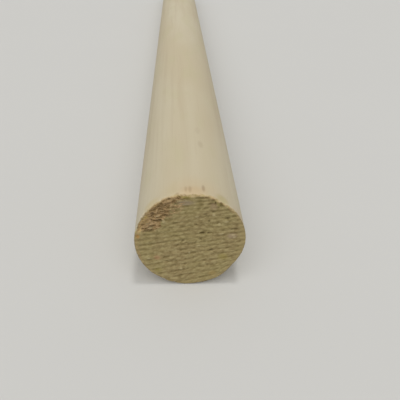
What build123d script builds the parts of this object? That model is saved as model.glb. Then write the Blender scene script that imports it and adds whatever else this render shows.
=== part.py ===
from build123d import *
from math import atan2, ceil, cos, degrees, floor, log, radians, sin
import os

# Wooden dowel rod: a plain round rod with one rough sawn end and one plain cut end.
# It lies along Y. The origin is the centre of the sawn end face, the rod runs from there
# towards +Y, and +Z is up. Sizes are in millimetres and angles in degrees.

# Stock
diameter = 19.05
length = 304.8

# Rims, broken a little by sawing and handling
sawn_rim_radius = 0.45
cut_rim_radius = 0.25

# Scoring of the sawn end: each stroke of the saw leaves one shallow straight groove.
# The saw rocked about a point to the right of the rod, so the grooves fan out from there,
# and each step of its feed was a little shorter than the one before.
pivot_right = 101.0
pivot_up = 16.0
score_pitch = 0.95
score_slowing = 0.035
score_width = 0.5
score_depth = 0.12

# Torn patch of the sawn end: overlapping scoops where fibres broke out along the rim.
# Its angles are taken about the rod's axis, from +X towards +Z.
tear_start = 104.0
tear_end = 160.0
tear_inset = 1.7
tear_half_width = 1.9
tear_depth = 0.42
tear_shallow_share = 0.6
tear_spacing = 1.9

# Worn corner: a small flat where the rim was rubbed down, low on the right
worn_angle = -35.0
worn_depth = 0.5
worn_reach = 1.4

# Margin by which a cutting solid stands clear of the face that it cuts
clear_of_face = 1.0

radius = diameter / 2
centre_line = Axis.Y


def round_bar():
    """A plain cylinder along +Y, with its first end face centred on the origin."""
    end_circle = Plane.XZ * Circle(radius)
    return extrude(end_circle, amount=length, dir=(0, 1, 0))


def eased(bar):
    """The bar with the rim of each end rounded over."""
    sawn_rim = bar.edges().filter_by(GeomType.CIRCLE).sort_by(centre_line)[0]
    bar = fillet(sawn_rim, sawn_rim_radius)
    cut_rim = bar.edges().filter_by(GeomType.CIRCLE).sort_by(centre_line)[-1]
    return fillet(cut_rim, cut_rim_radius)


def score(height):
    """One saw groove: a V along the line from the pivot that crosses the rod's middle at height."""
    half = score_width / 2
    section = Polyline(
        (0, -half),
        (score_depth, 0),
        (0, half),
        (-clear_of_face, half),
        (-clear_of_face, -half),
        close=True,
    )
    reach = radius + clear_of_face
    rise = degrees(atan2(pivot_up - height, pivot_right))
    bar = extrude(Plane.YZ * make_face(section), amount=reach, both=True)
    return Pos(0, 0, height) * Rot(0, -rise, 0) * bar


def score_height(step):
    """Height of a groove after that many steps from the centre, as a sum of shortening steps."""
    return score_pitch * (1 - (1 - score_slowing) ** step) / score_slowing


def step_at(height):
    """The number of steps, whole or not, from the centre to a height: score_height undone."""
    return log(1 - score_slowing * height / score_pitch) / log(1 - score_slowing)


def scores():
    """All saw grooves, half a step off the centre each way, so that a flat land lies on it."""
    span = radius - score_width
    first = ceil(step_at(-span) - 0.5)
    last = floor(step_at(span) - 0.5)
    return [score(score_height(step + 0.5)) for step in range(first, last + 1)]


def scoop(angle, depth):
    """One shallow round hollow of the torn patch, as the ball that leaves it."""
    ball_radius = (tear_half_width**2 + depth**2) / (2 * depth)
    from_axis = radius - tear_inset
    x = from_axis * cos(radians(angle))
    z = from_axis * sin(radians(angle))
    return Pos(x, depth - ball_radius, z) * Sphere(ball_radius)


def scoops():
    """The torn patch: scoops evenly along the rim, deep and shallow by turns."""
    run = radians(tear_end - tear_start) * (radius - tear_inset)
    steps = max(1, round(run / tear_spacing))
    turn = (tear_end - tear_start) / steps
    depths = [tear_depth, tear_depth * tear_shallow_share]
    return [scoop(tear_start + turn * step, depths[step % 2]) for step in range(steps + 1)]


def worn_corner():
    """A block whose sloping face rubs the rim down, by worn_depth at the end face."""
    slope = degrees(atan2(worn_depth, worn_reach))
    block = Pos(diameter / 2, 0, 0) * Box(diameter, diameter, diameter)
    return Rot(0, -worn_angle, 0) * Pos(radius - worn_depth, 0, 0) * Rot(0, 0, -slope) * block


dowel_rod = eased(round_bar())
dowel_rod -= scores()
dowel_rod -= scoops()
dowel_rod -= worn_corner()

os.makedirs("parts", exist_ok=True)
export_step(dowel_rod, "parts/dowel_rod.step")
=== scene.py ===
from math import cos, pi, radians, sin
import bpy
import numpy as np
from mathutils import Euler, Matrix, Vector


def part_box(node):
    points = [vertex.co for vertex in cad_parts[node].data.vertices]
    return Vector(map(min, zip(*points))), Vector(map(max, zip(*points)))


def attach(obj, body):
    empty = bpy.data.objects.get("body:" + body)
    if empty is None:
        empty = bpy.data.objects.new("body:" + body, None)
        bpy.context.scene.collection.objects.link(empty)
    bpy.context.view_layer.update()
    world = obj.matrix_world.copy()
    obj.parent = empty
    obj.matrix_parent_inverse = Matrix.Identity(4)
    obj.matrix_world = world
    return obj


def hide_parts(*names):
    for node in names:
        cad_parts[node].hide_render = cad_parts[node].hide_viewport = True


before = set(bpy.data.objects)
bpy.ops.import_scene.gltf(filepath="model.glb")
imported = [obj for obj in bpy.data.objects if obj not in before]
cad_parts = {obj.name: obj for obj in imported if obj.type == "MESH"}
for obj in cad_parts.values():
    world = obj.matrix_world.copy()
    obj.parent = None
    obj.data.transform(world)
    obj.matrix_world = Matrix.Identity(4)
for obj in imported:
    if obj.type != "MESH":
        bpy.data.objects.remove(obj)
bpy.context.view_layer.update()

# Wooden dowel rod on its side, sawn end towards the viewer.
# Lengths are in metres. The rod's axis is Y and the sawn end face lies at y = 0.
# Angles about the axis run from +X towards +Z, and are in degrees where they are listed.

mm = 0.001
rodLow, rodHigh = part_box("dowel_rod")
rodRadius = min(rodHigh[0] - rodLow[0], rodHigh[2] - rodLow[2]) / 2
rodLength = rodHigh[1] - rodLow[1]
print("rod: %.2f mm across, %.1f mm long" % (2 * rodRadius / mm, rodLength / mm))

# another number here gives another chance pattern of the same kind
seeds = dict(
    wave=15,
    dashes=11,
    tearEdge=71,
    shredBend=61,
    shreds=37,
    fray=23,
    strokes=29,
    fineGrain=51,
    broadGrain=52,
    uneven=81,
    bandEdge=91,
)


# Noise and blends that several shapes use

def latticeNoise(u, v, seed):
    # smooth value noise, -1 to 1: random values on whole numbers of u and v, blended by 3t^2 - 2t^3
    size = 256
    values = np.random.default_rng(seed).uniform(-1, 1, (size, size))
    u0, v0 = np.floor(u).astype(int), np.floor(v).astype(int)
    fu, fv = u - u0, v - v0
    fu, fv = fu * fu * (3 - 2 * fu), fv * fv * (3 - 2 * fv)
    a, b = values[u0 % size, v0 % size], values[(u0 + 1) % size, v0 % size]
    c, d = values[u0 % size, (v0 + 1) % size], values[(u0 + 1) % size, (v0 + 1) % size]
    return (a + (b - a) * fu) * (1 - fv) + (c + (d - c) * fu) * fv


def layeredNoise(u, v, seed, layers):
    # sum of lattice noises, each twice as fine and half as strong as the one before
    parts = [latticeNoise(u * 2**k, v * 2**k, seed + k) / 2**k for k in range(layers)]
    return sum(parts) / (2 - 2 ** (1 - layers))


def smoothStep(t):
    # 3t^2 - 2t^3 of t held to 0..1
    t = np.clip(t, 0, 1)
    return t * t * (3 - 2 * t)


def byAngle(turn, angles, sizes):
    # a size that changes round the rod: straight lines between the sizes listed, in mm
    return np.interp(np.degrees(turn), angles, sizes, period=360) * mm


# Sawn end: how deep each point of the face lies below its highest fibres

sawnEnd = dict(
    pivotRight=101 * mm,             # the saw's strokes fan out from this point
    pivotUp=16 * mm,
    pitch=0.95 * mm,                 # from one mark to the next at the centre
    slowing=0.035,                   # each step is this share shorter than the one below it
    width=0.74 * mm,                 # of one mark at the face
    depth=0.15 * mm,
    wave=0.14,                       # how far a mark wanders, in steps
    waveCell=(1.5 * mm, 1.1 * mm),   # over how much length along it and across it
    dash=0.64 * mm,                  # length over which a mark fades in and out
    dashMean=0.62,                   # share of its depth that it has on average
    dashSwing=0.85,                  # and how far that share swings
    dashLimits=(0.05, 1.25),
    fray=0.085 * mm,                 # height of the crushed fibres between the marks
    frayCell=0.4 * mm,
    frayDraw=1.7,                    # they are this many times longer along the marks
    crossed=(3.3, 3.9, 4.6, 3.6),    # crossed, broken marks: x, z, half width, half height in mm
    crossedLoss=0.6,                 # share of the marks that is lost there
    crossCell=0.7 * mm,              # size of the strokes that cross there
    crossLean=(0.8, 0.5),            # how far they lean, from upright and from level
    crossDepth=0.16 * mm,
    smoother=(-0.6, 5.4, 3.0, 2.0),  # a smoother place: the same
    smootherLoss=0.5,
    smootherFray=0.4,                # share of the crushed fibres that is lost there
    rimRadius=0.45 * mm,             # rounding of the rim where it is widest
    rimAngles=[-90, -55, -25, 10, 60, 110, 150, 180, 215, 245],
    rimRadii=[0.3, 0.42, 0.2, 0.14, 0.3, 0.36, 0.25, 0.14, 0.14, 0.2],  # its rounding there, in mm
    easeReach=1.5 * mm,              # where it is smaller, the side beyond fades back over this
    easeStart=1.3,                   # and is true again this many such lengths from the face
    easeSpread=6,                    # the larger, the less of the face spreads to meet it
    fibreLean=0.12,                  # slope of pits and flecks
    fleckHeight=0.12 * mm,
    pitFullShade=0.4,                     # a pit this deep, in mm, gets the full painted shade
    strokeShade=0.9,                  # how dark the painted shade of crossing strokes is, next to marks
    # pits in the end grain, painted darker as painted shade the deeper they are: x, z, half length
    # along the marks, half width, depth, in mm
    pits=[
        (2, 1.7, 0.6, 0.3, 0.42), (3.2, 1.7, 0.6, 0.3, 0.3), (1.8, 0.4, 0.3, 0.3, 0.3),
        (-1.3, 0.1, 0.5, 0.3, 0.28), (-0.6, -0.3, 0.4, 0.2, 0.2), (3.7, -1.9, 0.6, 0.3, 0.26),
        (-2.1, -0.8, 0.4, 0.2, 0.2), (5, 1, 0.6, 0.2, 0.2), (6.1, 4.6, 0.6, 0.3, 0.3),
        (3.1, 4.1, 0.3, 0.3, 0.28), (3.8, 5.9, 0.4, 0.3, 0.24), (2.4, 5.4, 0.5, 0.3, 0.22),
        (0.9, 3.4, 0.4, 0.3, 0.24), (0.3, 3, 0.4, 0.2, 0.22), (7.5, 2.4, 0.4, 0.3, 0.18),
        (-4.2, -4.2, 0.6, 0.2, 0.2), (-0.8, -5, 0.4, 0.2, 0.18), (3.1, -5.1, 0.4, 0.3, 0.22),
        (-7, 2.1, 1.2, 0.3, 0.5), (-6.4, 2.9, 1, 0.3, 0.34), (-5.3, 4.1, 0.9, 0.4, 0.5),
        (-6.2, 5.3, 0.4, 0.5, 0.4), (-5, 6.2, 0.7, 0.4, 0.4), (-4.1, 5.1, 0.6, 0.4, 0.4),
        (-3.6, 8.3, 0.4, 0.5, 0.36), (-2.5, 7.5, 0.5, 0.3, 0.34), (-3.9, 7.2, 0.7, 0.3, 0.34),
        (5, 7.2, 0.4, 0.8, 0.28), (4, 7.5, 0.2, 0.6, 0.26),
    ],
    # light raised fibres: x, z, half length along the marks, half width, in mm
    flecks=[
        (6, 4, 0.5, 0.3), (7.4, 0.8, 0.4, 0.3), (7.2, 1.3, 0.5, 0.2), (-1.5, -5.9, 0.4, 0.4),
        (-7, -3.5, 0.4, 0.3), (1, 5, 0.5, 0.2), (1.5, -0.8, 0.5, 0.2), (-0.1, -2.4, 0.3, 0.4),
        (3.8, 5.4, 0.4, 0.4), (4.8, 3.5, 0.3, 0.4), (5.2, 1.6, 0.7, 0.2), (-4.5, 4.1, 0.4, 0.4),
        (-4.6, 5.9, 0.6, 0.2), (-3.1, 7.9, 0.4, 0.2), (-6.9, 3.4, 1, 0.2), (-6.7, 2.5, 0.9, 0.2),
        (-5.5, 4.9, 0.5, 0.2),
    ],
)
tear = dict(
    start=104.0,                     # the scoops lie from here to end, in degrees
    end=160.0,
    inset=1.7 * mm,                  # of the scoops' centres from the rim
    halfWidth=1.9 * mm,
    depth=0.42 * mm,
    shallowShare=0.6,                # every other scoop has this share of that depth
    spacing=1.9 * mm,
    # how far the torn patch reaches in from the rim: angles, and widths in mm
    angles=[92, 97, 101, 107, 113, 118, 128, 138, 149, 155, 162, 165, 169],
    widths=[-0.6, 0.4, 0.9, 1.3, 1.6, 2.1, 3.2, 3.1, 3.8, 3.5, 2.4, 1.3, -0.6],
    edge=0.5 * mm,                   # width over which it fades out
    edgeRagged=0.9,                  # how strongly a noise frays that edge
    edgeCell=(0.8 * mm, 0.45 * mm),
    marksLost=0.75,                  # share of the saw marks that is lost in it
    ragged=0.65,                     # how far the broken fibres change the scoops' depth
    raggedMean=0.45,                 # a fibre bundle of this height leaves it as it is
    shredDepth=0.12 * mm,            # from a fibre bundle down to the gap beside it
    shredWidth=0.42 * mm,
    shredLength=1.25 * mm,
    shredBend=0.34 * mm,
    bendCell=1.3 * mm,
    bendAcross=1.3,                  # they bend this many times as far across as along
    shredThin=2.1,                   # the larger, the thinner the bundles
    sideDepth=0.16 * mm,             # how deep it eats into the side
    sideMean=1.3,                    # times this between the bundles, and 1 less on them
)


def sawWay(x, z):
    # height: where the line from the pivot through the point crosses x = 0,
    # pz - (pz - z) px / (px - x). along: from there to the point.
    # step: marks passed since the centre, ln(1 - slowing height / pitch) / ln(1 - slowing)
    px, pz, slowing = sawnEnd["pivotRight"], sawnEnd["pivotUp"], sawnEnd["slowing"]
    height = pz - (pz - z) * px / (px - x)
    along = x / px * np.hypot(px, pz - height)
    step = np.log1p(-slowing * height / sawnEnd["pitch"]) / np.log1p(-slowing)
    return along, height, step


def patch(x, z, place):
    # 1 well inside an ellipse, 0 outside it
    px, pz, wide, high = place
    return smoothStep(1.5 * (1 - np.hypot((x / mm - px) / wide, (z / mm - pz) / high)))


def markDepth(x, z):
    # V marks on every half step, 1 - |distance| / half width, times a noise along each mark,
    # which breaks it into dashes. A broad noise makes the marks wander
    along, height, step = sawWay(x, z)
    waveAlong, waveAcross = sawnEnd["waveCell"]
    wander = layeredNoise(along / waveAlong, height / waveAcross, seeds["wave"], 2)
    step = step + sawnEnd["wave"] * wander
    line = np.floor(step)
    pitchHere = sawnEnd["pitch"] * (1 - sawnEnd["slowing"]) ** step
    fromMark = np.abs(step - line - 0.5) * pitchHere
    shape = smoothStep(1 - fromMark / (sawnEnd["width"] / 2))
    apart = 7.31   # each mark reads the noise this far from the next one's
    dashes = layeredNoise(along / sawnEnd["dash"], line * apart, seeds["dashes"], 3)
    dashes = np.clip(sawnEnd["dashMean"] + sawnEnd["dashSwing"] * dashes, *sawnEnd["dashLimits"])
    plain = 1 - sawnEnd["crossedLoss"] * patch(x, z, sawnEnd["crossed"])
    plain = plain - sawnEnd["smootherLoss"] * patch(x, z, sawnEnd["smoother"])
    return shape * dashes * plain


def tearDepth(x, z):
    # the deepest of overlapping round scoops along the rim, d (1 - r^2 / w^2)
    fromAxis = rodRadius - tear["inset"]
    run = radians(tear["end"] - tear["start"]) * fromAxis
    steps = round(run / tear["spacing"])
    angles = np.radians(np.linspace(tear["start"], tear["end"], steps + 1))
    deep = tear["depth"] * np.where(np.arange(steps + 1) % 2, tear["shallowShare"], 1)
    besideX = x[..., None] - fromAxis * np.cos(angles)
    besideZ = z[..., None] - fromAxis * np.sin(angles)
    gap2 = besideX**2 + besideZ**2
    return np.max(deep * np.clip(1 - gap2 / tear["halfWidth"] ** 2, 0, 1), axis=-1)


def tearCover(x, z):
    # 1 inside the torn patch, 0 outside: (width here - distance from the rim) / edge + noise
    cellX, cellZ = tear["edgeCell"]
    width = byAngle(np.arctan2(z, x), tear["angles"], tear["widths"])
    ragged = tear["edgeRagged"] * layeredNoise(x / cellX, z / cellZ, seeds["tearEdge"], 3)
    return smoothStep((width - rodRadius + np.hypot(x, z)) / tear["edge"] + 0.5 + ragged)


def shreds(x, z):
    # broken fibre bundles, 1 on a bundle and 0 between: 1 - thin |noise| on a lattice drawn out
    # along the marks and bent by a broader noise
    along, height, _ = sawWay(x, z)
    cell = tear["bendCell"]
    bend = tear["shredBend"] * latticeNoise(x / cell, z / cell, seeds["shredBend"])
    u = (along + bend) / tear["shredLength"]
    v = (height + tear["bendAcross"] * bend) / tear["shredWidth"]
    return np.clip(1 - tear["shredThin"] * np.abs(layeredNoise(u, v, seeds["shreds"], 3)), 0, 1)


def dentShare(x, z, dents):
    # the strongest of elliptic bells (1 - e)^1.5, e = (along / a)^2 + (across / b)^2, with the
    # number of the bell that it is
    total = np.zeros_like(x)
    which = np.zeros(x.shape, int)
    lean = sawnEnd["fibreLean"]
    for number, (px, pz, a, b) in enumerate(dents):
        dx, dz = x / mm - px, z / mm - pz
        e = np.clip(((dx + lean * dz) / a) ** 2 + ((dz - lean * dx) / b) ** 2, 0, 1)
        bell = (1 - e) ** 1.5
        which = np.where(bell > total, number, which)
        total = np.maximum(total, bell)
    return total, which


def faceRelief(x, z):
    # depth = marks + crushed fibres + crossing strokes + torn patch + pits - raised fibres, all
    # inwards. The other values, 0 to about 1, say where each of them lies, for the colours
    along, height, _ = sawWay(x, z)
    marks = markDepth(x, z)
    cell = sawnEnd["frayCell"]
    fray = layeredNoise(along / (sawnEnd["frayDraw"] * cell), height / cell, seeds["fray"], 3)
    fray = (0.5 + 0.5 * fray) * (1 - sawnEnd["smootherFray"] * patch(x, z, sawnEnd["smoother"]))
    cell, (leanX, leanZ) = sawnEnd["crossCell"], sawnEnd["crossLean"]
    strokes = layeredNoise((x + leanX * z) / cell, (z - leanZ * x) / cell, seeds["strokes"], 2)
    strokes = np.clip(strokes, -0.2, 1) * patch(x, z, sawnEnd["crossed"])
    bundle = shreds(x, z)
    torn = tearCover(x, z)
    pit, which = dentShare(x, z, [row[:4] for row in sawnEnd["pits"]])
    deepest = np.array([row[4] for row in sawnEnd["pits"]])[which]
    fleck, _ = dentShare(x, z, sawnEnd["flecks"])
    depth = sawnEnd["depth"] * marks * (1 - tear["marksLost"] * torn) + sawnEnd["fray"] * fray
    depth = depth + sawnEnd["crossDepth"] * strokes
    depth = depth + tearDepth(x, z) * torn * (1 + tear["ragged"] * (tear["raggedMean"] - bundle))
    depth = depth + tear["shredDepth"] * torn * (1 - bundle) + deepest * mm * pit
    depth = np.clip(depth - sawnEnd["fleckHeight"] * fleck, 0, None)
    return dict(
        depth=depth,
        marks=marks + sawnEnd["strokeShade"] * np.clip(strokes, 0, 1),
        torn=torn,
        bundle=bundle,
        pit=pit * deepest / sawnEnd["pitFullShade"],
        fleck=fleck,
    )


# Rod: one closed skin, two end faces and the rings between them

rod = dict(
    faceSteps=208,                   # squares across the sawn face
    rimSteps=6,                      # rings in the sawn rim's rounding
    cutRimRadius=0.25 * mm,
    cutRimSteps=3,
    sideSteps=46,                    # rings along the side
    sideGrowth=0.125,                # the gaps between them grow by e to this power
    cutFaceRings=5,                  # rings on the far, plainly cut face
    shy=0.004 * mm,                  # the skin stays this far inside the box of the true rod
    grain=0.02 * mm,                 # depth of the raised grain on the side
    fineRidge=(0.45 * mm, 26 * mm),  # its ridges: round the rod and along it
    broadRidge=(3.1 * mm, 60 * mm),
    grainFade=0.6 * mm,              # it starts over this width, from the edge of either end
    tearReach=0.9 * mm,              # how far along the side the end's damage fades out
    wornAngle=-33.0,                 # the worn corner
    wornDepth=0.42 * mm,             # at the face
    wornReach=1.4 * mm,              # along the rod
    wornBlend=0.02,                  # how softly it runs into the round, as a share of the radius
    keepPower=4,                     # the larger, the nearer to the rim dents and worn corner stay
    # small dents of the rim: angle, half width in degrees, depth in mm
    rimDents=[(238, 12, 0.1), (57, 10, 0.2), (90, 32, 0.2), (128, 12, 0.06), (163, 7, 0.1),
              (345, 14, 0.12)],
    dentReach=1.5 * mm,              # how far along the rod they fade out
    uneven=0.03 * mm,                # of the rim between them
    unevenTurn=7.5,                  # size of its cells round the rim, in degrees
    # how wide the paler band inside the rim is: angles, and widths in mm
    bandAngles=[-90, -60, -35, 0, 40, 75, 95, 120, 140, 170, 195, 225, 250],
    bandWidths=[0.12, 0.35, 0.6, 0.75, 0.2, 0.0, 0.0, 0.5, 0.95, 0.7, 0.45, 0.15, 0.1],
    bandFade=0.3 * mm,               # it fades in over this width
    bandLead=0.2,                    # and starts this share of it sooner
    bandRagged=0.5,                  # how strongly a noise changes its width
    bandCell=(9, 0.5 * mm),          # that noise: degrees round the rod, and across the band
    noiseShift=60,                   # noises by angle are read this far along, well above 0
    # how much further in the rim's rubbed colour, with its painted shade and painted highlight,
    # starts: the same
    rubAngles=[-10, 10, 36, 50, 62, 74, 90, 102, 134, 145, 158, 190, 204, 216, 236, 246],
    rubWidths=[0.1, 0.0, 0.0, 0.3, 0.3, 0.0, 0.4, 0.0, 0.0, 0.4, 0.1, 0.0, 0.3, 0.1, 0.4, 0.0],
)


def discGrid(steps):
    # square a, b in -1..1 to disc: the radius is the larger of |a|, |b|, and the angle is pi / 4
    # times their ratio, counted from that one's axis
    a, b = np.meshgrid(np.linspace(-1, 1, steps + 1), np.linspace(-1, 1, steps + 1), indexing="ij")
    wide = np.abs(a) >= np.abs(b)
    r = np.where(wide, a, b)
    low = np.where(r == 0, 1, r)
    turn = np.where(wide, pi / 4 * b / low, pi / 2 - pi / 4 * a / low)
    return r * np.cos(turn), r * np.sin(turn)


def discRim(steps):
    # numbers of the grid's border points, once round by rising angle, from -45 degrees
    grid = np.arange((steps + 1) ** 2).reshape(steps + 1, steps + 1)
    return np.concatenate([grid[-1, :-1], grid[:0:-1, -1], grid[0, :0:-1], grid[:-1, 0]])


def gridQuads(rows):
    # the four corners of each square between neighbouring rows and columns
    corners = [rows[:-1, :-1], rows[1:, :-1], rows[1:, 1:], rows[:-1, 1:]]
    return np.stack(corners, axis=-1).reshape(-1, 4)


def grainDepth(angle, y):
    # fibre ridges round the rod that change slowly along it: 0.5 + 0.3 fine + 0.2 broad noise
    around = angle * rodRadius
    (fineWide, fineLong), (broadWide, broadLong) = rod["fineRidge"], rod["broadRidge"]
    fine = latticeNoise(around / fineWide, y / fineLong, seeds["fineGrain"])
    broad = latticeNoise(around / broadWide, y / broadLong, seeds["broadGrain"])
    return 0.5 + 0.3 * fine + 0.2 * broad


def rimKeep(angle, y, outer):
    # share of the radius left at an angle: the lesser of 1 and the worn flat's
    # limit / cos(angle - worn angle), blended as (a + b - sqrt((a - b)^2 + blend^2)) / 2,
    # less dents d (1 - t^2)^2 that fade along the rod
    off = angle - radians(rod["wornAngle"])
    limit = outer - rod["wornDepth"] * (1 - y / rod["wornReach"])
    flat = limit / np.clip(np.cos(off), 0.5, 1) / outer
    lesser = (flat + 1 - np.sqrt((flat - 1) ** 2 + rod["wornBlend"] ** 2)) / 2
    keep = np.where(np.cos(off) > 0.5, lesser, 1)
    fade = smoothStep(1 - y / rod["dentReach"])
    for middle, half, deep in rod["rimDents"]:
        t = (np.degrees(angle) - middle + 180) % 360 - 180
        bell = np.clip(1 - (t / half) ** 2, 0, 1) ** 2
        keep = keep - deep * mm / outer * bell * fade
    around = np.degrees(angle) / rod["unevenTurn"] + rod["noiseShift"]
    uneven = latticeNoise(around, y / mm, seeds["uneven"])
    return keep - rod["uneven"] / outer * (0.5 + 0.5 * uneven) * fade


def easeRim(r, y, angle, outer):
    # less = 1 - the rounding here / its widest. On it the distances from its corner shrink by that
    # share, the face inside it spreads by less times its widest times (r / its edge)^spread, and
    # the side beyond it moves up to meet it, which fades out along the rod
    full = sawnEnd["rimRadius"]
    less = 1 - byAngle(angle, sawnEnd["rimAngles"], sawnEnd["rimRadii"]) / full
    edge = outer - full
    spread = r + less * full * (r / edge) ** sawnEnd["easeSpread"]
    onRim = np.where(r > edge, r + (outer - r) * less, spread)
    beyond = full * smoothStep(sawnEnd["easeStart"] - y / sawnEnd["easeReach"])
    up = less * np.where(y < full, y, beyond)
    return np.where(y < full, onRim, r), y - up


def profile(outer):
    # the rings' radii, places along the rod and distances past the flat edge of the nearer end:
    # quarter circles at both rims, straight along the side, and inwards over the cut face
    sawRim, cutRim = sawnEnd["rimRadius"], rod["cutRimRadius"]
    quarter = np.linspace(0, pi / 2, rod["rimSteps"] + 1)[1:]
    cutQuarter = np.linspace(pi / 2, 0, rod["cutRimSteps"] + 1)
    stretch = np.expm1(rod["sideGrowth"] * np.arange(1, rod["sideSteps"]))
    stretch = stretch / np.expm1(rod["sideGrowth"] * rod["sideSteps"])
    straight = sawRim + (rodLength - sawRim - cutRim) * stretch
    farRadius = (outer - cutRim) * np.linspace(1, 0, rod["cutFaceRings"] + 1)[1:-1]
    fromSawn = sawRim * pi / 2 + straight - sawRim
    fromCut = cutRim * pi / 2 + rodLength - cutRim - straight
    ringR = [outer - sawRim + sawRim * np.sin(quarter), np.full(straight.size, outer),
             outer - cutRim + cutRim * np.sin(cutQuarter), farRadius]
    ringY = [sawRim - sawRim * np.cos(quarter), straight,
             rodLength - cutRim + cutRim * np.cos(cutQuarter), np.full(farRadius.size, rodLength)]
    pastEdge = [sawRim * quarter, np.minimum(fromSawn, fromCut), cutRim * cutQuarter,
                farRadius - (outer - cutRim)]
    return np.concatenate(ringR), np.concatenate(ringY), np.concatenate(pastEdge)


def rodFaces(ringCount, middle):
    # squares over the sawn face's grid and from ring to ring, and a fan to the cut end's middle
    n = rod["faceSteps"]
    grid = np.arange((n + 1) ** 2).reshape(n + 1, n + 1)
    rings = grid.size + np.arange(ringCount * 4 * n).reshape(ringCount, -1)
    rings = np.concatenate([discRim(n)[None, :], rings])
    rings = np.concatenate([rings, rings[:, :1]], axis=1)
    last = rings[-1]
    fan = np.stack([last[:-1], np.full(4 * n, middle), last[1:]], axis=-1)
    return gridQuads(grid).tolist() + gridQuads(rings).tolist() + fan.tolist()


def addNumbers(mesh, name, values):
    # one number per point, for a material to read
    mesh.attributes.new(name, "FLOAT", "POINT").data.foreach_set("value", values.astype(np.float32))


def addPlaces(mesh, name, values):
    # three numbers per point
    data = mesh.attributes.new(name, "FLOAT_VECTOR", "POINT").data
    data.foreach_set("vector", values.astype(np.float32).ravel())


def addPiece(name, meshName, points, faces):
    # a smooth piece from points and faces, placed by its mesh alone
    mesh = bpy.data.meshes.new(meshName)
    mesh.from_pydata(points.tolist(), [], faces)
    mesh.polygons.foreach_set("use_smooth", np.ones(len(mesh.polygons), bool))
    piece = bpy.data.objects.new(name, mesh)
    bpy.context.collection.objects.link(piece)
    print("%s: %d points, %d faces" % (name, len(points), len(mesh.polygons)))
    return piece


def buildRod():
    # rings (r, y) run round the sawn rim, along the side and over the cut end to its middle point;
    # a grid closes the sawn face, and the relief pushes points inwards
    outer = rodRadius - rod["shy"]
    flatRadius = outer - sawnEnd["rimRadius"]
    faceX, faceZ = (part.ravel() * flatRadius for part in discGrid(rod["faceSteps"]))
    ringR, ringY, ringPast = profile(outer)
    around = 4 * rod["faceSteps"]
    angle = -pi / 4 + 2 * pi * np.arange(around) / around
    side = np.stack([
        ringR[:, None] * np.cos(angle),
        ringY[:, None] + 0 * angle,
        ringR[:, None] * np.sin(angle),
    ], axis=-1)
    near = np.stack([faceX, 0 * faceX, faceZ], axis=-1)
    points = np.concatenate([near, side.reshape(-1, 3), [(0, rodLength, 0)]])
    past = [np.hypot(faceX, faceZ) - flatRadius, np.repeat(ringPast, around), [-outer]]
    past = np.concatenate(past)
    x, y, z = points.T.copy()

    turn, r = np.arctan2(z, x), np.hypot(x, z)
    easedR, points[:, 1] = easeRim(r, y, turn, outer)
    lost = (1 - rimKeep(turn, y, outer)) * (r / outer) ** rod["keepPower"]
    keep = easedR / np.where(r > 0, r, 1) * (1 - lost)
    face = faceRelief(x, z)
    fade = smoothStep(1 - y / rod["tearReach"])
    points[:, 1] += face["depth"] * fade
    onSide = (past > 0) & (y > 0)
    shrink = rod["grain"] * grainDepth(turn, y) * smoothStep(past / rod["grainFade"])
    eaten = tear["sideDepth"] * (tear["sideMean"] - face["bundle"])
    shrink = shrink + onSide * fade * face["torn"] * eaten
    for axis in (0, 2):
        points[:, axis] *= keep
        points[:, axis] *= 1 - shrink / rodRadius

    piece = addPiece("rod", "dowelRod", points, rodFaces(ringR.size, len(points) - 1))
    mesh = piece.data
    for name in ("marks", "torn", "bundle", "pit", "fleck"):
        addNumbers(mesh, name, face[name] * fade)
    cellTurn, cellAcross = rod["bandCell"]
    place = np.degrees(turn) / cellTurn + rod["noiseShift"]
    rough = layeredNoise(place, past / cellAcross, seeds["bandEdge"], 3)
    band = byAngle(turn, rod["bandAngles"], rod["bandWidths"]) * (1 + rod["bandRagged"] * rough)
    addNumbers(mesh, "band", smoothStep((past + band) / rod["bandFade"] + rod["bandLead"]))
    addNumbers(mesh, "pastEdge", (past + byAngle(turn, rod["rubAngles"], rod["rubWidths"])) / mm)
    along, height, _ = sawWay(x, z)
    addPlaces(mesh, "sawWay", np.stack([along, height, y], axis=1))
    return piece


# Splinters: slender broken fibres that lie in the torn patch and along the rim

splinters = dict(
    seed=8,
    tornCount=170,
    rimCount=90,
    sides=5,
    rings=6,
    tornTurn=(tear["start"] - 4, tear["end"] + 3),   # where their roots lie, in degrees
    rimTurn=(35, 215),
    tornInset=(0.5 * mm, 3.2 * mm),                  # and how far from the rim
    rimInset=(0.2 * mm, 0.5 * mm),
    tornHeading=8,                                   # the way most lie in the patch, in degrees
    tornSpread=20,
    rimSpread=30,                                    # along the rim, give or take
    tornLength=(0.5 * mm, 1.9 * mm),
    rimLength=(0.25 * mm, 0.7 * mm),
    thickness=(0.028 * mm, 0.065 * mm),              # radius at the thickest place, about
    curl=0.22,                                       # twice its bow over its length, about
    lift=0.16 * mm,                                  # how far a tip stands off the face
    fromRim=0.16 * mm,                               # none comes nearer to the rod's side
    fromFace=0.01 * mm,                              # or to the plane of the end
)


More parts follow.
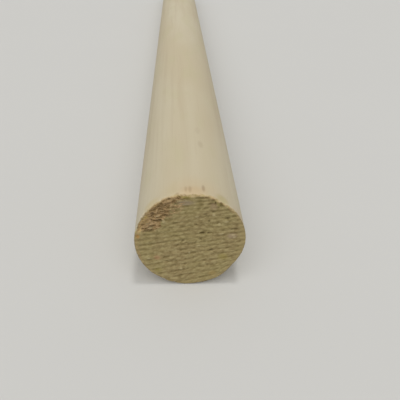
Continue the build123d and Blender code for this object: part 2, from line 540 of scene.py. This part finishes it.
def splinterLines():
    # start points, directions, lengths, radii and curls, drawn in one order from one seed
    draw = np.random.default_rng(splinters["seed"])
    torn, rim = splinters["tornCount"], splinters["rimCount"]
    turn = np.concatenate([
        np.radians(draw.uniform(*splinters["tornTurn"], torn)),
        np.radians(draw.uniform(*splinters["rimTurn"], rim)),
    ])
    reach = np.concatenate([
        rodRadius - draw.uniform(*splinters["tornInset"], torn),
        rodRadius - draw.uniform(*splinters["rimInset"], rim),
    ])
    swing = np.radians(draw.normal(0, splinters["tornSpread"], torn))
    tornWay = radians(splinters["tornHeading"]) + swing + pi * draw.integers(0, 2, torn)
    rimWay = turn[torn:] + pi / 2 + np.radians(draw.normal(0, splinters["rimSpread"], rim))
    length = np.concatenate([
        draw.uniform(*splinters["tornLength"], torn),
        draw.uniform(*splinters["rimLength"], rim),
    ])
    thick = draw.uniform(*splinters["thickness"], torn + rim)
    curl = draw.normal(0, splinters["curl"], torn + rim)
    heading = np.concatenate([tornWay, rimWay])
    return reach * np.cos(turn), reach * np.sin(turn), heading, length, thick, curl


def splinterFaces(total):
    # squares between the rings and a fan at each end, for one splinter, then shifted for each
    rings, sides = splinters["rings"], splinters["sides"]
    numbers = np.arange(rings * sides).reshape(rings, sides)
    numbers = np.concatenate([numbers, numbers[:, :1]], axis=1)
    root, tip = np.full(sides, rings * sides), np.full(sides, rings * sides + 1)
    rootFan = np.stack([numbers[0, 1:], root, numbers[0, :-1]], axis=-1)
    tipFan = np.stack([numbers[-1, :-1], tip, numbers[-1, 1:]], axis=-1)
    shift = (np.arange(total) * (rings * sides + 2))[:, None, None]
    faces = []
    for part in (gridQuads(numbers), rootFan, tipFan):
        faces += (part + shift).reshape(-1, part.shape[1]).tolist()
    return faces


def buildSplinters():
    # centre lines start + length (t, 2 curl (t - t^2)) on the face, lifted by t^2, with round
    # rings of radius 1.9 thick t^0.4 (1 - t), closed to a point at both ends
    startX, startZ, heading, length, thick, curl = splinterLines()
    total = len(length)
    t = np.linspace(0, 1, splinters["rings"] + 2)
    way = t * length[:, None]
    sway = curl[:, None] * length[:, None] * (t - t * t) * 2
    aheadX, aheadZ = np.cos(heading)[:, None], np.sin(heading)[:, None]
    asideX, asideZ = -aheadZ, aheadX
    x = startX[:, None] + aheadX * way + asideX * sway
    z = startZ[:, None] + aheadZ * way + asideZ * sway
    pull = np.minimum(1, (rodRadius - splinters["fromRim"]) / np.hypot(x, z))
    x, z = x * pull, z * pull
    radius = thick[:, None] * (t**0.4 * (1 - t) * 1.9)
    rimRadius = sawnEnd["rimRadius"]
    past = np.clip(np.hypot(x, z) - (rodRadius - rimRadius), 0, None)
    rimDrop = rimRadius - np.sqrt(np.clip(rimRadius**2 - past**2, 0, None))
    depth = faceRelief(x, z)["depth"] + rimDrop
    y = np.maximum(depth - splinters["lift"] * t * t, radius + splinters["fromFace"])

    around = 2 * pi * np.arange(splinters["sides"]) / splinters["sides"]
    inner = slice(1, -1)
    ring = radius[:, inner, None]
    rows = np.stack([
        x[:, inner, None] + ring * np.cos(around) * asideX[..., None],
        y[:, inner, None] + ring * np.sin(around),
        z[:, inner, None] + ring * np.cos(around) * asideZ[..., None],
    ], axis=-1)
    ends = np.stack([np.stack([x[:, k], y[:, k], z[:, k]], axis=-1) for k in (0, -1)], axis=1)
    points = np.concatenate([rows.reshape(total, -1, 3), ends], axis=1)
    return addPiece("splinters", "splinters", points.reshape(-1, 3), splinterFaces(total))


# Materials

def paint(red, green, blue):
    # a screen colour, 0 to 255, as the linear colour that a shader takes
    levels = np.array([red, green, blue]) / 255
    linear = np.where(levels <= 0.04045, levels / 12.92, ((levels + 0.055) / 1.055) ** 2.4)
    return (*linear.tolist(), 1.0)


class Sheet:
    # a material's node tree, with short calls to add to it
    def __init__(self, name):
        self.material = bpy.data.materials.new(name)
        self.material.use_nodes = True
        self.tree = self.material.node_tree
        self.tree.nodes.clear()

    def node(self, kind, settings=None, **sockets):
        # a node with its settings, and a link or a value for each socket named
        made = self.tree.nodes.new(kind)
        for key, value in (settings or {}).items():
            setattr(made, key, value)
        for key, value in sockets.items():
            self.feed(made.inputs[key.replace("_", " ")], value)
        return made

    def feed(self, socket, value):
        # a link from another node's socket, or a plain value
        if hasattr(value, "links"):
            self.tree.links.new(value, socket)
        else:
            socket.default_value = value

    def noise(self, place, size, detail, stretch=(1, 1, 1)):
        # noise with features of the given size, stretched along an axis by a stretch below 1
        scaled = self.node("ShaderNodeMapping", Vector=place)
        scaled.inputs["Scale"].default_value = stretch
        moved = scaled.outputs[0]
        made = self.node("ShaderNodeTexNoise", Vector=moved, Scale=1 / size, Detail=detail)
        return made.outputs["Fac"]

    def math(self, operation, a, b):
        # a sum or product of two numbers
        made = self.node("ShaderNodeMath", dict(operation=operation))
        self.feed(made.inputs[0], a)
        self.feed(made.inputs[1], b)
        return made.outputs[0]

    def vector(self, operation, a, b=(0, 0, 0)):
        # a product, difference or quotient of two vectors, or a length or distance
        made = self.node("ShaderNodeVectorMath", dict(operation=operation))
        self.feed(made.inputs[0], a)
        self.feed(made.inputs[1], b)
        return made.outputs["Value" if operation in ("LENGTH", "DISTANCE") else "Vector"]

    def axis(self, place, name):
        # one coordinate of a place: X, Y or Z
        return self.node("ShaderNodeSeparateXYZ", Vector=place).outputs[name]

    def steps(self, value, low, high, start=0.0, end=1.0):
        # start below low, end above high, smooth between
        made = self.node("ShaderNodeMapRange", dict(interpolation_type="SMOOTHSTEP"), Value=value)
        keys = ("From Min", "From Max", "To Min", "To Max")
        for key, number in zip(keys, (low, high, start, end)):
            made.inputs[key].default_value = number
        return made.outputs[0]

    def mix(self, share, a, b):
        # a where share is 0, b where it is 1
        made = self.node("ShaderNodeMix", dict(data_type="RGBA"))
        self.feed(made.inputs["Factor"], share)
        self.feed(made.inputs["A"], a)
        self.feed(made.inputs["B"], b)
        return made.outputs["Result"]

    def spot(self, place, centre, halves, strength):
        # full strength in the inner quarter of an ellipsoid, falling to 0 at its skin
        moved = self.vector("SUBTRACT", place, centre)
        reach = self.vector("LENGTH", self.vector("DIVIDE", moved, halves))
        return self.steps(reach, 0.25, 1.0, strength, 0.0)

    def value(self, name):
        # the number that addNumbers wrote
        return self.node("ShaderNodeAttribute", dict(attribute_name=name)).outputs["Fac"]

    def place(self, name):
        # the three numbers that addPlaces wrote
        return self.node("ShaderNodeAttribute", dict(attribute_name=name)).outputs["Vector"]

    def finish(self, colour, roughness, bumps=(), **plain):
        # the shader, with bumps (height, distance, strength) one upon the other
        shader = self.node("ShaderNodeBsdfPrincipled", Base_Color=colour, Roughness=roughness)
        for key, number in plain.items():
            shader.inputs[key.replace("_", " ")].default_value = number
        normal = None
        for height, distance, strength in bumps:
            bump = self.node("ShaderNodeBump", Height=height, Strength=strength, Distance=distance)
            if normal is not None:
                self.feed(bump.inputs["Normal"], normal)
            normal = bump.outputs[0]
        if normal is not None:
            self.feed(shader.inputs["Normal"], normal)
        out = self.node("ShaderNodeOutputMaterial")
        self.tree.links.new(shader.outputs[0], out.inputs[0])
        return self.material


# In the colours below, the two numbers after a noise or a value are where a blend starts and
# ends, and a share is how much of the new colour it then holds

sideLook = dict(
    pale=paint(198, 188, 162),
    warm=paint(193, 180, 151),
    greenish=paint(190, 181, 146),
    streak=paint(181, 165, 136),
    speck=paint(132, 104, 76),
    broadCell=11 * mm,
    greenishCell=4.5 * mm,
    greenishShare=0.4,
    growthMiddle=(-26 * mm, 0.0, -64 * mm),   # the tree's middle, far outside the rod
    layer=0.9 * mm,                  # thickness of its growth layers
    wander=2.2 * mm,                 # how far they wander
    wanderCell=30 * mm,
    layerSlope=0.012,                # how fast they change along the rod
    layerShare=0.32,
    fibreShare=0.22,
    pore=0.16 * mm,
    poreShare=0.14,
    # small dark specks near the sawn end: along the rod in mm, degrees, half length and half width
    # in mm, strength
    specks=[
        (0.5, 103.5, 0.5, 0.5, 0.36),
        (1.6, 95.0, 1.2, 0.36, 0.26),
        (1.5, 91.0, 1.3, 0.4, 0.32),
        (2.1, 77.5, 1.5, 0.42, 0.44),
        (26.0, 77.6, 2.6, 0.8, 0.1),
        (19.3, 75.6, 2.2, 0.8, 0.17),
    ],
    speckDeep=1.2 * mm,
    # soft stains at the sawn end: centre and half sizes in mm, colour, strength
    rubs=[
        ((0.2, 1.4, 9.5), (7.5, 6.0, 5.0), paint(196, 171, 131), 0.3),
        ((0.3, 0.8, 9.5), (3.2, 2.4, 2.0), paint(193, 168, 129), 0.55),
        ((5.2, 0.7, 7.9), (1.9, 1.9, 1.7), paint(172, 159, 110), 0.6),
        ((8.2, 0.9, 4.8), (1.5, 2.4, 2.6), paint(190, 168, 140), 0.4),
        ((-6.6, 0.9, 6.9), (2.4, 1.7, 2.4), paint(190, 172, 122), 0.45),
    ],
)


def sideColour(s, place, fibres):
    # growth layers are shells round the tree's middle; the round rod cuts them into long streaks
    look = sideLook
    shell = s.vector("DISTANCE", s.vector("MULTIPLY", place, (1, 0, 1)), look["growthMiddle"])
    wander = s.math("MULTIPLY", s.noise(place, look["wanderCell"], 2, (1, 0.5, 1)), look["wander"])
    shells = s.node("ShaderNodeCombineXYZ")
    s.feed(shells.inputs[0], s.math("ADD", shell, wander))
    s.feed(shells.inputs[1], s.math("MULTIPLY", s.axis(place, "Y"), look["layerSlope"]))
    layers = s.noise(shells.outputs[0], look["layer"], 2)
    broad = s.noise(place, look["broadCell"], 2, (1, 0.2, 1))
    tint = s.noise(place, look["greenishCell"], 2, (1, 0.3, 1))
    pores = s.noise(place, look["pore"], 1, (1, 0.1, 1))
    side = s.mix(s.steps(broad, 0.32, 0.68), look["pale"], look["warm"])
    side = s.mix(s.steps(tint, 0.46, 0.7, 0, look["greenishShare"]), side, look["greenish"])
    side = s.mix(s.steps(layers, 0.46, 0.7, 0, look["layerShare"]), side, look["streak"])
    side = s.mix(s.steps(fibres, 0.5, 0.8, 0, look["fibreShare"]), side, look["streak"])
    side = s.mix(s.steps(pores, 0.68, 0.78, 0, look["poreShare"]), side, look["speck"])
    for centre, halves, colour, strength in look["rubs"]:
        spot = s.spot(place, np.array(centre) * mm, np.array(halves) * mm, strength)
        side = s.mix(spot, side, colour)
    for along, degrees, half, wide, strength in look["specks"]:
        turn = radians(degrees)
        centre = (rodRadius * cos(turn), along * mm, rodRadius * sin(turn))
        spot = s.spot(place, centre, (wide * mm, half * mm, look["speckDeep"]), strength)
        side = s.mix(spot, side, look["speck"])
    return side, layers


endLook = dict(
    light=paint(171, 157, 114),
    middle=paint(149, 135, 92),
    brown=paint(147, 130, 91),
    dark=paint(101, 87, 50),
    pit=paint(86, 71, 40),
    fleck=paint(184, 171, 132),
    band=paint(152, 136, 95),
    tornLight=paint(184, 156, 117),
    tornMiddle=paint(160, 132, 92),
    tornDark=paint(112, 88, 52),
    broadCell=4.5 * mm,
    darkerUpFrom=-4 * mm,              # a little darker from this height up
    darkerUpTo=5 * mm,
    darkerUpShare=0.12,
    dash=0.5 * mm,                   # fibres drawn out along the marks
    dashLight=0.58,
    dashDark=0.34,
    mottleShare=0.4,
    markShadeShare=0.56,
    bandShare=0.75,
    shred=0.3 * mm,
    shredShare=0.5,
    paleShare=0.85,
    tornShare=0.8,
    fleckShare=0.5,
    pitShadeShare=0.6,
    # soft stains on the sawn face: x, z, half width, half height in mm, colour, strength
    stains=[
        (-0.9, 7.7, 2.0, 0.7, paint(143, 128, 104), 0.85),
        (-0.9, 8.8, 1.9, 0.55, paint(140, 127, 68), 0.6),
        (4.9, 7.7, 1.6, 0.9, paint(142, 128, 72), 0.5),
        (-5.65, -3.4, 0.9, 0.7, paint(164, 128, 94), 0.7),
        (-5.6, -6.1, 1.0, 0.7, paint(140, 128, 72), 0.5),
        (5.75, -3.3, 1.3, 0.9, paint(150, 136, 78), 0.6),
        (4.1, -7.0, 1.1, 0.8, paint(156, 132, 80), 0.5),
        (3.75, 7.0, 0.9, 1.0, paint(150, 128, 100), 0.6),
        (7.1, 1.1, 1.2, 0.8, paint(160, 140, 118), 0.55),
        (-8.86, 1.07, 0.5, 0.6, paint(166, 126, 70), 0.8),
        (-7.6, 4.7, 1.0, 1.5, paint(178, 156, 100), 0.9),
        (-8.6, 2.7, 0.6, 1.5, paint(182, 156, 106), 0.8),
        (-5.9, 7.1, 0.8, 0.5, paint(172, 146, 92), 0.6),
    ],
    stainDeep=4 * mm,
)


def sawnColour(s, place, way, mottle):
    # crushed end grain: light and dark fibres drawn out along the marks, dark marks and pits with
    # painted shade in their hollows, the brown torn patch with painted shade in its gaps, soft
    # stains, and a little darker towards the top
    look = endLook
    dark = look["dark"]
    dashes = s.noise(way, look["dash"], 2, (0.5, 1, 0))
    broad = s.noise(place, look["broadCell"], 2)
    height = s.axis(place, "Z")
    darkerUp = s.steps(height, look["darkerUpFrom"], look["darkerUpTo"], 0, look["darkerUpShare"])
    end = s.mix(s.steps(broad, 0.35, 0.65), look["middle"], look["brown"])
    end = s.mix(darkerUp, end, dark)
    end = s.mix(s.steps(dashes, 0.45, 0.66, 0, look["dashLight"]), end, look["light"])
    end = s.mix(s.steps(dashes, 0.3, 0.48, look["dashDark"], 0), end, dark)
    end = s.mix(s.steps(mottle, 0.5, 0.72, 0, look["mottleShare"]), end, dark)
    # painted shade: the saw marks and crossing strokes are painted darker along their grooves
    end = s.mix(s.steps(s.value("marks"), 0.1, 1.1, 0, look["markShadeShare"]), end, dark)
    end = s.mix(s.steps(s.value("band"), 0, 1, 0, look["bandShare"]), end, look["band"])

    bundle = s.value("bundle")
    shred = s.noise(way, look["shred"], 3, (0.4, 1, 0))
    # painted shade: the gaps between the broken fibre bundles, deeper in the relief, are painted
    # dark
    brown = s.mix(s.steps(bundle, 0.1, 0.62), look["tornDark"], look["tornMiddle"])
    brown = s.mix(s.steps(bundle, 0.55, 0.95, 0, look["paleShare"]), brown, look["tornLight"])
    brown = s.mix(s.steps(shred, 0.48, 0.68, 0, look["shredShare"]), brown, look["tornDark"])
    end = s.mix(s.steps(s.value("torn"), 0.15, 0.75, 0, look["tornShare"]), end, brown)
    for px, pz, wide, high, colour, strength in look["stains"]:
        halves = (wide * mm, look["stainDeep"], high * mm)
        end = s.mix(s.spot(place, (px * mm, 0, pz * mm), halves, strength), end, colour)
    end = s.mix(s.steps(s.value("fleck"), 0.1, 0.8, 0, look["fleckShare"]), end, look["fleck"])
    # painted shade: pits are painted darker the deeper they are
    return s.mix(s.steps(s.value("pit"), 0.1, 0.9, 0, look["pitShadeShare"]), end, look["pit"])


cutLook = dict(
    grit=0.12 * mm,                  # size of its pores
    gritShare=0.5,
    layerShare=0.5,
)


def cutColour(s, place, layers):
    # the far end is cut cleanly: the same end grain, finer and plainer
    grit = s.noise(place, cutLook["grit"], 2)
    darker = s.steps(layers, 0.4, 0.7, 0, cutLook["layerShare"])
    cut = s.mix(darker, endLook["light"], endLook["middle"])
    return s.mix(s.steps(grit, 0.55, 0.75, 0, cutLook["gritShare"]), cut, endLook["dark"])


woodLook = dict(
    # painted light on the rim: a painted highlight high on the rod, painted shade low where it
    # meets the table
    rimHighlight=paint(184, 163, 124),
    rimShade=paint(138, 121, 87),
    rimGreen=paint(172, 157, 108),
    greenShare=0.7,
    greenCell=1.1 * mm,
    rimFrayed=0.6 * mm,              # size of the unevenness where the colours meet at the rim
    rimLightFrom=0.3,                     # the rim goes from its painted shade to its painted highlight between these shares of the radius
    rimLightTo=0.85,
    fibre=0.3 * mm,                  # width of the fibres on the side
    mottle=0.5 * mm,                 # of the crushed end grain
    farFrom=0.45,                    # one end's colour gives way to the other's between these
    farTo=0.55,                      # shares of the length, where the side hides both
    sideRough=0.6,
    endRough=0.95,
    gloss=0.25,
    fibreBump=0.6,                   # how much of the side's grain is fibres
    layerBump=0.4,                   # and how much growth layers
    sideBump=(0.025 * mm, 0.4),      # height and strength
    endBump=(0.1 * mm, 0.7),
)


def woodMaterial():
    # the two ends and the side meet in the rounding of the rim, unevenly, with a rubbed colour
    # between them that holds painted shade towards the bottom and a lighter, warmer painted
    # highlight towards the top
    s = Sheet("bareWood")
    look = woodLook
    place = s.node("ShaderNodeTexCoord").outputs["Object"]
    way = s.place("sawWay")
    fibres = s.noise(place, look["fibre"], 3, (1, 0.025, 1))
    mottle = s.noise(way, look["mottle"], 3, (0.75, 1, 0))
    side, layers = sideColour(s, place, fibres)
    farHalf = s.steps(s.axis(place, "Y"), look["farFrom"] * rodLength, look["farTo"] * rodLength)
    end = s.mix(farHalf, sawnColour(s, place, way, mottle), cutColour(s, place, layers))

    frayed = s.math("MULTIPLY", s.noise(place, look["rimFrayed"], 3), -1.0)
    past = s.math("ADD", s.value("pastEdge"), frayed)
    onRim, onSide = s.steps(past, -0.5, -0.1), s.steps(past, -0.1, 0.5)
    # painted light: the rim's colour runs from painted shade low on the rod to a painted highlight
    # high on it
    rimLitShare = s.steps(s.axis(place, "Z"), look["rimLightFrom"] * rodRadius, look["rimLightTo"] * rodRadius)
    green = s.steps(s.noise(place, look["greenCell"], 2), 0.48, 0.62, 0, look["greenShare"])
    rim = s.mix(rimLitShare, look["rimShade"], look["rimHighlight"])
    rim = s.mix(green, rim, look["rimGreen"])
    colour = s.mix(onSide, s.mix(onRim, end, rim), side)
    rough = s.steps(onSide, 0.0, 1.0, look["endRough"], look["sideRough"])
    ridges = s.math("MULTIPLY", fibres, look["fibreBump"])
    sideHeight = s.math("ADD", ridges, s.math("MULTIPLY", layers, look["layerBump"]))
    endHeight = s.math("MULTIPLY", mottle, s.steps(onSide, 0, 1, 1, 0))
    bumps = [(sideHeight, *look["sideBump"]), (endHeight, *look["endBump"])]
    return s.finish(colour, rough, bumps, Specular_IOR_Level=look["gloss"])


fibreLook = dict(
    tone=0.7 * mm,                   # size of its paler and browner places
    fine=0.08 * mm,                  # and of its fine dark lines
    fineShare=0.4,
    rough=0.9,
    gloss=0.2,
    bump=(0.02 * mm, 0.5),
)


def fibreMaterial():
    # broken fibres: pale to tan along and between them
    s = Sheet("brokenFibre")
    look = fibreLook
    place = s.node("ShaderNodeTexCoord").outputs["Object"]
    tone = s.noise(place, look["tone"], 3)
    colour = s.mix(s.steps(tone, 0.35, 0.65), endLook["tornMiddle"], endLook["tornLight"])
    fine = s.noise(place, look["fine"], 2)
    colour = s.mix(s.steps(fine, 0.5, 0.8, 0, look["fineShare"]), colour, endLook["tornDark"])
    bumps = [(fine, *look["bump"])]
    return s.finish(colour, look["rough"], bumps, Specular_IOR_Level=look["gloss"])


# Table top and light

table = dict(
    colour=paint(205, 204, 200),
    dimmer=0.985,                    # its faint cloudiness: this share of the colour
    cloud=60 * mm,
    rough=0.9,
    gloss=0.1,
    half=4.0,                        # half its width, far past the picture's edge
)
light = dict(
    sky=0.37,                        # shares of the light on a level face, 1 together
    lamps=[
        dict(name="topLamp", share=0.21, across=9.0, towards=(0.07, -0.03, 1.0)),
        dict(name="frontLamp", share=0.42, across=70.0, towards=(-0.12, -0.64, 0.77)),
    ],
)


def layTable():
    # a level square under the rod
    half, floorZ = table["half"], rodLow[2]
    mesh = bpy.data.meshes.new("table")
    corners = [(x * half, y * half, floorZ) for x, y in ((-1, -1), (1, -1), (1, 1), (-1, 1))]
    mesh.from_pydata(corners, [], [(0, 1, 2, 3)])
    piece = bpy.data.objects.new("table", mesh)
    bpy.context.collection.objects.link(piece)
    s = Sheet("tablePaper")
    tone = s.noise(s.node("ShaderNodeTexCoord").outputs["Object"], table["cloud"], 2)
    *shade, whole = table["colour"]
    dimmer = (*(level * table["dimmer"] for level in shade), whole)
    colour = s.mix(tone, table["colour"], dimmer)
    mesh.materials.append(s.finish(colour, table["rough"], Specular_IOR_Level=table["gloss"]))


def setLight():
    # a pale sky all round and two soft lamps; the eye sees the sky in the table's colour
    world = bpy.data.worlds.new("studio")
    bpy.context.scene.world = world
    world.use_nodes = True
    tree = world.node_tree
    tree.nodes.clear()
    soft, seen = tree.nodes.new("ShaderNodeBackground"), tree.nodes.new("ShaderNodeBackground")
    soft.inputs["Color"].default_value = (1, 1, 1, 1)
    soft.inputs["Strength"].default_value = light["sky"]
    seen.inputs["Color"].default_value = table["colour"]
    path, mix = tree.nodes.new("ShaderNodeLightPath"), tree.nodes.new("ShaderNodeMixShader")
    share = path.outputs["Is Camera Ray"]
    for other in ("Is Glossy Ray", "Is Transmission Ray"):
        larger = tree.nodes.new("ShaderNodeMath")
        larger.operation = "MAXIMUM"
        tree.links.new(share, larger.inputs[0])
        tree.links.new(path.outputs[other], larger.inputs[1])
        share = larger.outputs[0]
    out = tree.nodes.new("ShaderNodeOutputWorld")
    tree.links.new(share, mix.inputs[0])
    tree.links.new(soft.outputs[0], mix.inputs[1])
    tree.links.new(seen.outputs[0], mix.inputs[2])
    tree.links.new(mix.outputs[0], out.inputs[0])

    for row in light["lamps"]:
        towards = Vector(row["towards"]).normalized()
        lamp = bpy.data.lights.new(row["name"], "SUN")
        lamp.energy = row["share"] * pi / towards.z   # a level face then gets its share
        lamp.angle = radians(row["across"])
        piece = bpy.data.objects.new(row["name"], lamp)
        piece.rotation_mode = "QUATERNION"
        piece.rotation_quaternion = towards.to_track_quat("Z", "Y")
        bpy.context.collection.objects.link(piece)


# Camera

camera = dict(
    place=(-2.66 * mm, -65.376 * mm, 48.202 * mm),
    turn=(58.64, -1.593, -2.612),    # degrees about X, Y and Z
    acrossPhoto=400.0,               # pixels across the photograph
    focalPixels=476.0,               # distance of the picture plane in those pixels
    sensor=36.0,                     # width in millimetres
    near=1 * mm,                     # nothing nearer or farther is drawn
    far=50.0,
)


def setCamera():
    # focal length = sensor width times focalPixels / acrossPhoto
    lens = bpy.data.cameras.new("camera")
    lens.sensor_width = camera["sensor"]
    lens.lens = camera["sensor"] * camera["focalPixels"] / camera["acrossPhoto"]
    lens.clip_start, lens.clip_end = camera["near"], camera["far"]
    piece = bpy.data.objects.new("camera", lens)
    piece.location = camera["place"]
    piece.rotation_euler = Euler([radians(part) for part in camera["turn"]], "XYZ")
    bpy.context.collection.objects.link(piece)
    bpy.context.scene.camera = piece


setCamera()
layTable()
setLight()
print("camera, table and light are set")

rodPiece = buildRod()
rodPiece.data.materials.append(woodMaterial())
splinterPiece = buildSplinters()
splinterPiece.data.materials.append(fibreMaterial())
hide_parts("dowel_rod")
for piece in (rodPiece, splinterPiece):
    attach(piece, "root")
print("rod is dressed")

bpy.context.scene.view_settings.view_transform = "Standard"
